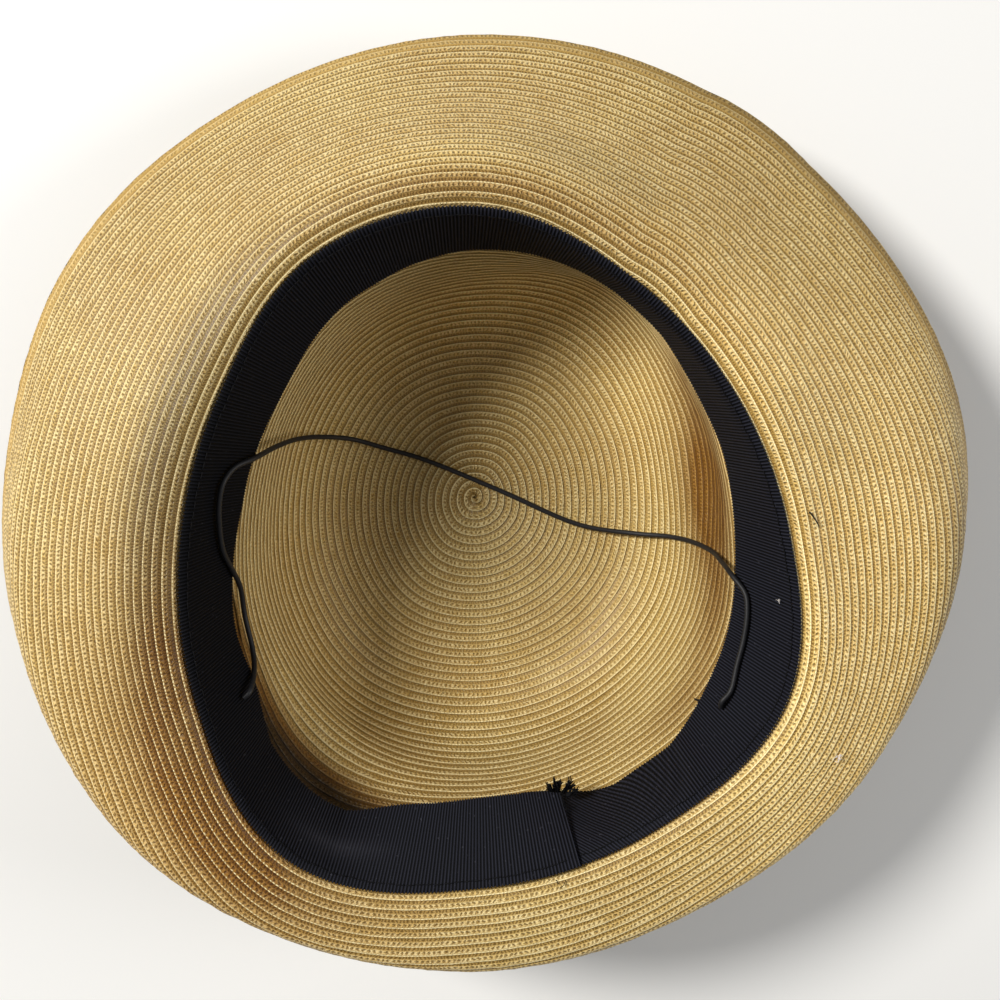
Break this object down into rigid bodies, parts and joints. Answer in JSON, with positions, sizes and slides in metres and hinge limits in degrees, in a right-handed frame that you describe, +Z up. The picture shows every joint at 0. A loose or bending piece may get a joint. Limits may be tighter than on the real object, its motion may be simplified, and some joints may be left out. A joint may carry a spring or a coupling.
{
  "type": "straw hat with chin elastic",
  "caption": "Straw hat of spirally sewn braid lying on its crown, with a rolled brim, a black grosgrain sweatband and a thin black elastic.",
  "frame": {"origin": "middle of the flat outer face of the crown's tip, on which the hat lies", "axes": "+Z up out of the hat's opening, +Y toward the front of the hat, +X across it; the ribbon's seam is at the back, toward -Y"},
  "size_m": [0.2805, 0.272, 0.0748],
  "materials": {
    "straw": "satin natural straw",
    "grosgrain": "ribbed, dull sheen",
    "elastic": "woven cover, satin",
    "barb": "black enamel"
  },
  "bodies": {
    "root": {"crown_and_brim": "straw", "sweatband": "grosgrain", "elastic_cord": "elastic", "elastic_barb_left": "barb", "elastic_barb_right": "barb"}
  },
  "joints": []
}
